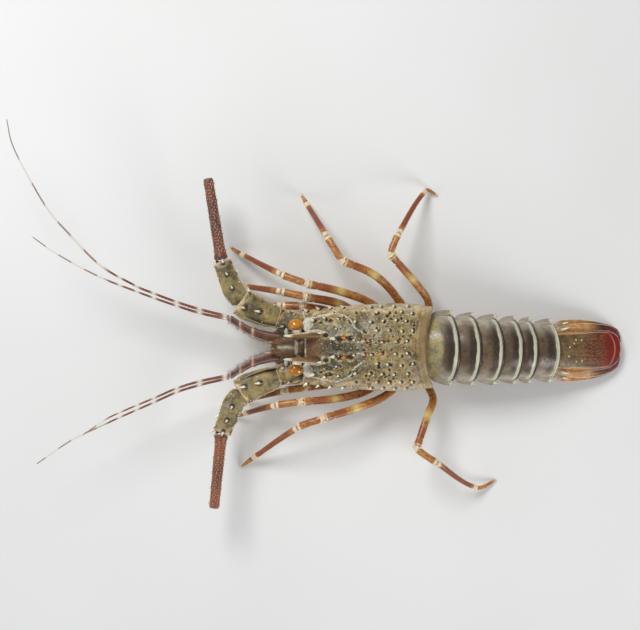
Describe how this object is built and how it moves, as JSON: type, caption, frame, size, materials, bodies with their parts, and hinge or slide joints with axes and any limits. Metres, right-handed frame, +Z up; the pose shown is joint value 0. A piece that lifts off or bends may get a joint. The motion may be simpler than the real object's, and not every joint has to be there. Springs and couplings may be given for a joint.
{
  "type": "spiny lobster",
  "caption": "Life-size spiny lobster standing on its walking legs: spiny carapace with horns, stalked antennae, ringed tail and folded tail fan.",
  "frame": {"origin": "on the floor, under the middle of the bounding box", "axes": "-X is the way the head points, +Y the animal's right side, +Z up"},
  "size_m": [0.3688, 0.2308, 0.0515],
  "materials": {
    "shell": "mottled olive, grey and brown horny shell with pale and dark spines, dull",
    "tail_shell": "smooth grey-brown shell with fine pale specks and a pale band near each rear edge, low gloss",
    "fan": "olive to deep red, thin and leathery, finely grooved, low gloss",
    "leg": "smooth orange-brown shell with cream bands, low gloss",
    "flagellum": "red-brown shell with pale rings, dull",
    "belly": "pale tan to cream shell, smooth",
    "swimmeret": "brick red thin plates with pale borders",
    "eye": "glossy amber cornea"
  },
  "bodies": {
    "root": {"carapace": "shell", "antennular_plate": "shell", "antenna_base_r": "shell", "antenna_middle_r": "shell", "antenna_end_r": "shell", "antenna_base_l": "shell", "antenna_middle_l": "shell", "antenna_end_l": "shell", "abdomen_1": "tail_shell", "abdomen_2": "tail_shell", "abdomen_3": "tail_shell", "abdomen_4": "tail_shell", "abdomen_5": "tail_shell", "abdomen_6": "tail_shell", "telson": "fan", "uropod_inner_r": "fan", "uropod_outer_r": "fan", "uropod_inner_l": "fan", "uropod_outer_l": "fan", "leg1_r_upper": "leg", "leg1_r_lower": "leg", "leg1_l_upper": "leg", "leg1_l_lower": "leg", "leg2_r_upper": "leg", "leg2_r_lower": "leg", "leg2_l_upper": "leg", "leg2_l_lower": "leg", "leg3_r_upper": "leg", "leg3_r_lower": "leg", "leg3_l_upper": "leg", "leg3_l_lower": "leg", "leg4_r_upper": "leg", "leg4_r_lower": "leg", "leg4_l_upper": "leg", "leg4_l_lower": "leg", "leg5_r_upper": "leg", "leg5_r_lower": "leg", "leg5_l_upper": "leg", "leg5_l_lower": "leg", "maxilliped_r": "leg", "maxilliped_l": "leg", "antenna_whip_r": "flagellum", "antenna_whip_l": "flagellum", "antennule_stalk_r": "flagellum", "antennule_outer_r": "flagellum", "antennule_inner_r": "flagellum", "antennule_stalk_l": "flagellum", "antennule_outer_l": "flagellum", "antennule_inner_l": "flagellum", "sternum": "belly", "epistome": "belly", "swimmerets_2": "swimmeret", "swimmerets_3": "swimmeret", "swimmerets_4": "swimmeret", "swimmerets_5": "swimmeret", "eye_r": "eye", "eye_l": "eye"}
  },
  "joints": []
}
